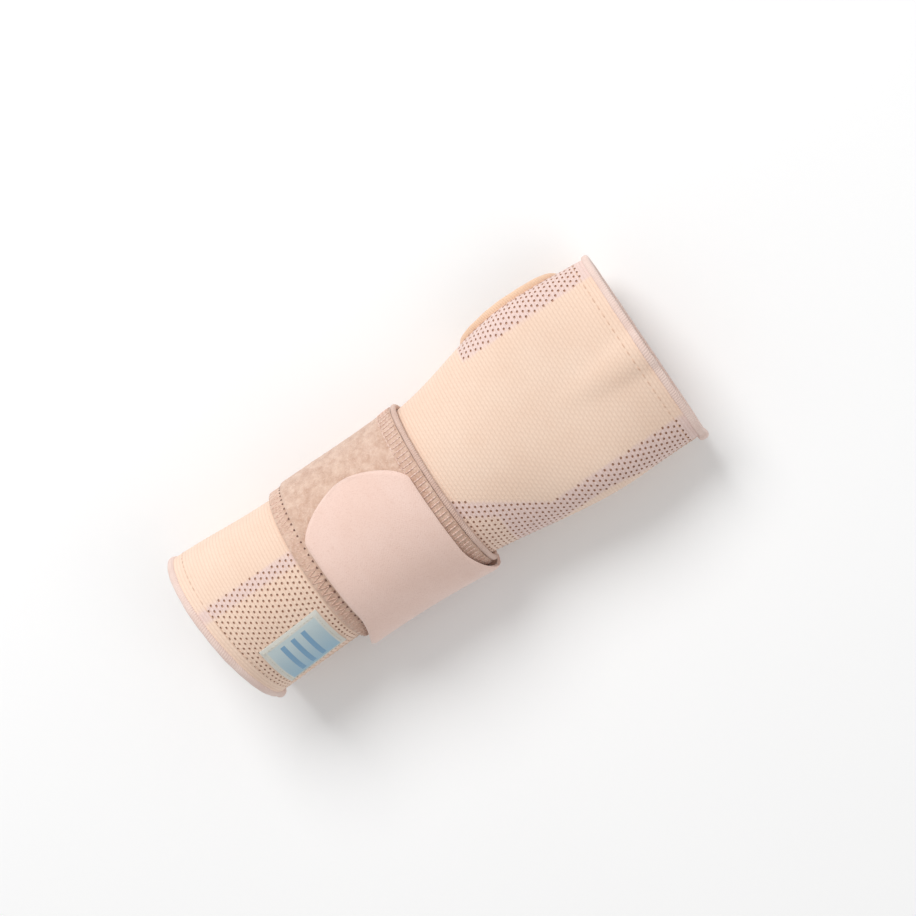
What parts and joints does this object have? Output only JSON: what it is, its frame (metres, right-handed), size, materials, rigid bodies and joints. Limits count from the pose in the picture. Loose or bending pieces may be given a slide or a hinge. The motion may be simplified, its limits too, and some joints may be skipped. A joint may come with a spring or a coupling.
{
  "type": "wrist splint",
  "caption": "Elastic knitted wrist splint with a thumb opening, a wrap strap closed by a hook-and-loop tab, and a removable palm stay in a pocket.",
  "frame": {"origin": "middle of the strap's flat palm face, under the wrist joint", "axes": "+X towards the fingers, +Y towards the thumb side, +Z towards the back of the hand"},
  "size_m": [0.1826, 0.0812, 0.0533],
  "materials": {
    "knit": "elastic rib knit with open eyelet zones",
    "hem_knit": "rolled soft knit",
    "binding": "smooth elastic tape",
    "loop_fabric": "heathered loop pile",
    "tab_laminate": "smooth brushed laminate",
    "hook": "moulded hooks",
    "thread": "sewing thread",
    "label": "woven satin",
    "pocket": "plain woven fabric",
    "stay_metal": "brushed",
    "stay_cap": "dipped vinyl"
  },
  "bodies": {
    "splint": {"knit_sleeve": "knit", "ulnar_seam": "knit", "forearm_hem": "hem_knit", "hand_hem": "hem_knit", "forearm_hem_stitch": "thread", "hand_hem_stitch": "thread", "thumb_binding": "binding", "thumb_binding_stitch": "thread", "strap_band": "loop_fabric", "strap_rear_edge": "loop_fabric", "strap_front_edge": "loop_fabric", "tab_root": "tab_laminate", "tab_root_stitch": "thread", "strap_anchor_stitch": "thread", "woven_label": "label", "label_stitch": "thread", "pocket_lining": "pocket", "pocket_cover": "pocket", "pocket_mouth_binding": "binding", "pocket_stitch": "thread"},
    "closing_tab": {"strap_tab": "tab_laminate", "hook_patch": "hook"},
    "stay": {"palmar_stay": "stay_metal", "stay_cap_forearm": "stay_cap", "stay_cap_palm": "stay_cap"}
  },
  "joints": [
    {"name": "tab_peel", "type": "hinge", "parent": "splint", "child": "closing_tab", "pos_m": [0, -0.035, 0.0205], "axis": [1, 0, 0], "range_deg": [0, 120]},
    {"name": "stay_slide", "type": "slide", "parent": "splint", "child": "stay", "axis": [-1, 0, 0], "range_m": [0, 0.14]}
  ]
}
